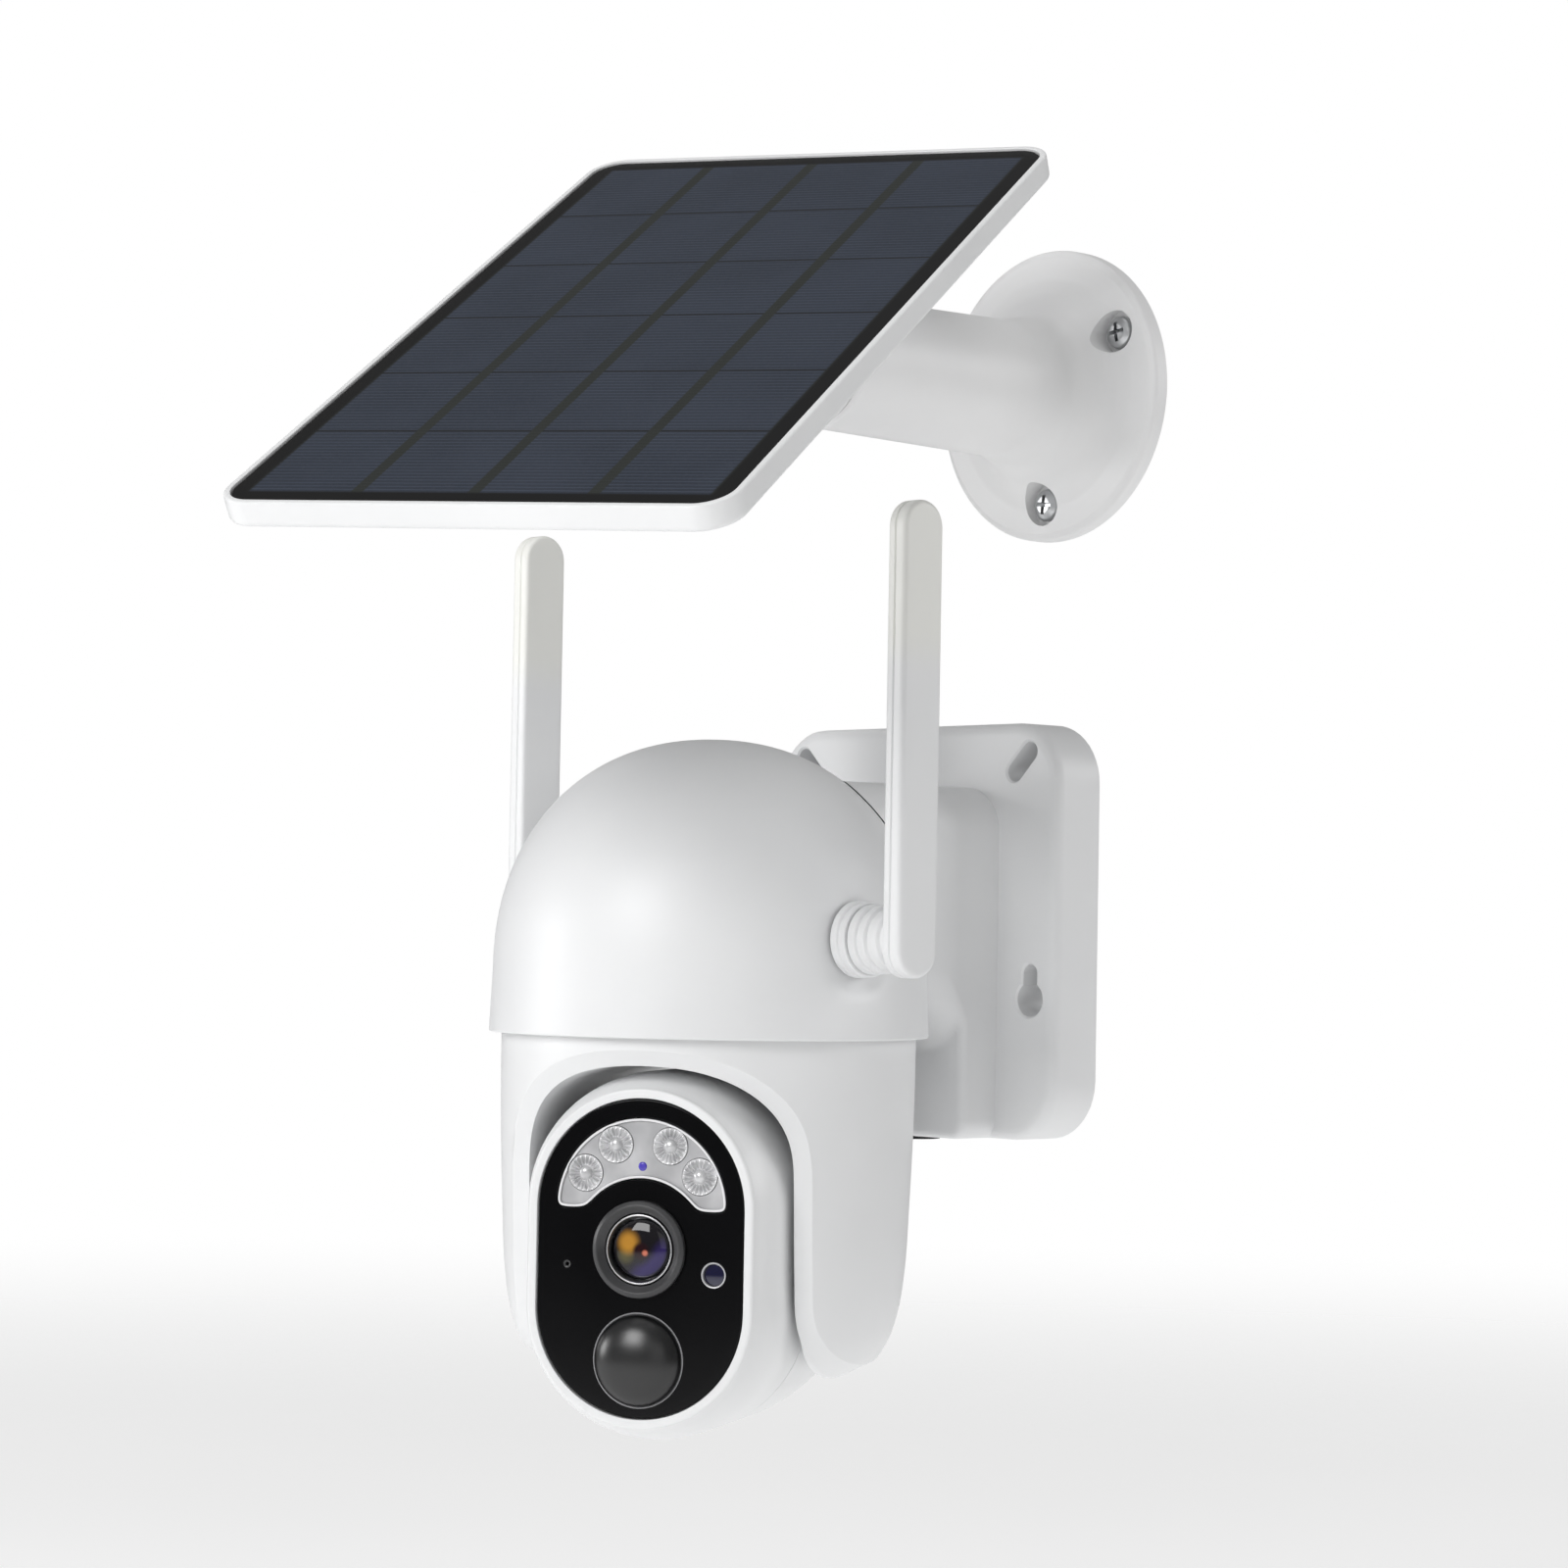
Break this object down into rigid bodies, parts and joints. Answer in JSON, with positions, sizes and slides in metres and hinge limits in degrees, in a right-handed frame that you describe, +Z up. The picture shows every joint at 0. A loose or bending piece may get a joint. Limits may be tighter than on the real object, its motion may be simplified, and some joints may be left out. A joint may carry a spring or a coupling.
{
  "type": "solar-powered security camera",
  "caption": "Outdoor pan and tilt security camera on a wall box with swivelling antennas, and a framed solar panel on a swivel wall arm.",
  "frame": {"origin": "middle of the wall box's back face, where the camera meets the wall", "axes": "+Y into the wall, +Z up, +X to the right seen from the room"},
  "size_m": [0.205, 0.2486, 0.3215],
  "materials": {
    "white_plastic": "satin off-white ABS",
    "black_gloss": "polished black cover window",
    "dark_plastic": "dark grey moulded plastic",
    "nylon": "natural nylon gear",
    "rubber": "black sealing rubber",
    "grey_rubber": "light grey flexible rubber",
    "steel": "zinc plated or stainless steel",
    "silver": "metallised silver-grey plastic",
    "clear_plastic": "clear moulded lens plastic",
    "optical_glass": "coated lens glass over a dark barrel",
    "sensor_blue": "dark blue sensor window",
    "circuit_board": "green solder mask",
    "battery_wrap": "blue shrink wrap",
    "solar_cells": "dark monocrystalline cells under a clear laminate"
  },
  "bodies": {
    "wall_body": {"wall_box": "white_plastic", "back_plate": "white_plastic", "box_seal": "rubber", "plate_screw_1": "steel", "plate_screw_2": "steel", "plate_screw_3": "steel", "plate_screw_4": "steel", "battery_pack": "battery_wrap", "charge_inlet": "rubber", "hood": "white_plastic", "chassis_plate": "dark_plastic", "pan_bearing": "steel", "pan_motor": "steel", "main_board": "circuit_board", "speaker": "dark_plastic", "antenna_socket_left": "white_plastic", "antenna_socket_right": "white_plastic", "solar_arm": "white_plastic", "solar_screw_1": "steel", "solar_screw_2": "steel", "solar_screw_3": "steel"},
    "pan_pinion": {"pan_pinion": "nylon"},
    "antenna_left": {"antenna_left": "white_plastic"},
    "antenna_right": {"antenna_right": "white_plastic"},
    "yoke": {"yoke_shell": "white_plastic", "pan_gear": "nylon", "pan_lock_ring": "steel", "cheek_cover_left": "white_plastic", "cheek_cover_right": "white_plastic", "tilt_bearing_left": "steel", "tilt_bearing_right": "steel", "tilt_motor": "steel"},
    "head": {"head_front": "white_plastic", "head_rear": "white_plastic", "face_panel": "black_gloss", "led_carrier": "silver", "led_lens_1": "clear_plastic", "led_lens_2": "clear_plastic", "led_lens_3": "clear_plastic", "led_lens_4": "clear_plastic", "lens_ring": "dark_plastic", "lens_barrel": "silver", "lens_glass": "optical_glass", "pir_lens": "black_gloss", "light_sensor": "sensor_blue", "image_board": "circuit_board", "port_board": "circuit_board"},
    "card_cover": {"card_cover": "grey_rubber"},
    "reset_button": {"reset_button": "dark_plastic"},
    "power_button": {"power_button": "dark_plastic"},
    "swivel": {"swivel_head": "white_plastic", "swivel_nut": "steel"},
    "bracket": {"panel_bracket": "white_plastic", "hinge_bolt": "steel", "hinge_nut": "steel"},
    "panel": {"panel_frame": "white_plastic", "panel_laminate": "solar_cells", "turn_screw": "steel", "panel_outlet": "rubber"}
  },
  "joints": [
    {"name": "pan", "type": "hinge", "parent": "wall_body", "child": "yoke", "pos_m": [0, -0.0865, -0.0272], "axis": [0, 0, 1], "range_deg": [-206.5, 148.5]},
    {"name": "pan_pinion_spin", "type": "hinge", "parent": "wall_body", "child": "pan_pinion", "pos_m": [-0.02858, -0.07, -0.0272], "axis": [0, 0, 1], "range_deg": [-670, 930]},
    {"name": "tilt", "type": "hinge", "parent": "yoke", "child": "head", "pos_m": [0, -0.0865, -0.0797], "axis": [0.8746, 0.4848, 0], "range_deg": [-2, 90]},
    {"name": "card_cover_hinge", "type": "hinge", "parent": "head", "child": "card_cover", "pos_m": [0, -0.0865, -0.1241], "axis": [0.8746, 0.4848, 0], "range_deg": [0, 100]},
    {"name": "reset_press", "type": "slide", "parent": "head", "child": "reset_button", "axis": [0, 0, 1], "range_m": [0, 0.0008], "stiffness_N_per_m": 300, "springref_m": -0.0005},
    {"name": "power_press", "type": "slide", "parent": "head", "child": "power_button", "axis": [0, 0, 1], "range_m": [0, 0.0008], "stiffness_N_per_m": 300, "springref_m": -0.0005},
    {"name": "antenna_left_swivel", "type": "hinge", "parent": "wall_body", "child": "antenna_left", "pos_m": [-0.0707, -0.0865, -0.0027], "axis": [1, 0, 0], "range_deg": [-50, 130]},
    {"name": "antenna_right_swivel", "type": "hinge", "parent": "wall_body", "child": "antenna_right", "pos_m": [0.0707, -0.0865, -0.0027], "axis": [1, 0, 0], "range_deg": [-50, 130]},
    {"name": "arm_swivel", "type": "hinge", "parent": "wall_body", "child": "swivel", "pos_m": [0.0353, -0.104, 0.139], "axis": [0, 1, 0], "range_deg": [-60, 45]},
    {"name": "panel_tilt", "type": "hinge", "parent": "swivel", "child": "bracket", "pos_m": [0.0353, -0.104, 0.139], "axis": [0.9659, 0, -0.2588], "range_deg": [-23, 31]},
    {"name": "panel_turn", "type": "hinge", "parent": "bracket", "child": "panel", "pos_m": [0.03764, -0.12832, 0.14772], "axis": [0.227, -0.4802, 0.8473], "range_deg": [-90, 90]}
  ],
  "couplings": [
    {"joint": "pan_pinion_spin", "follows": "pan", "ratio": -4.5}
  ]
}
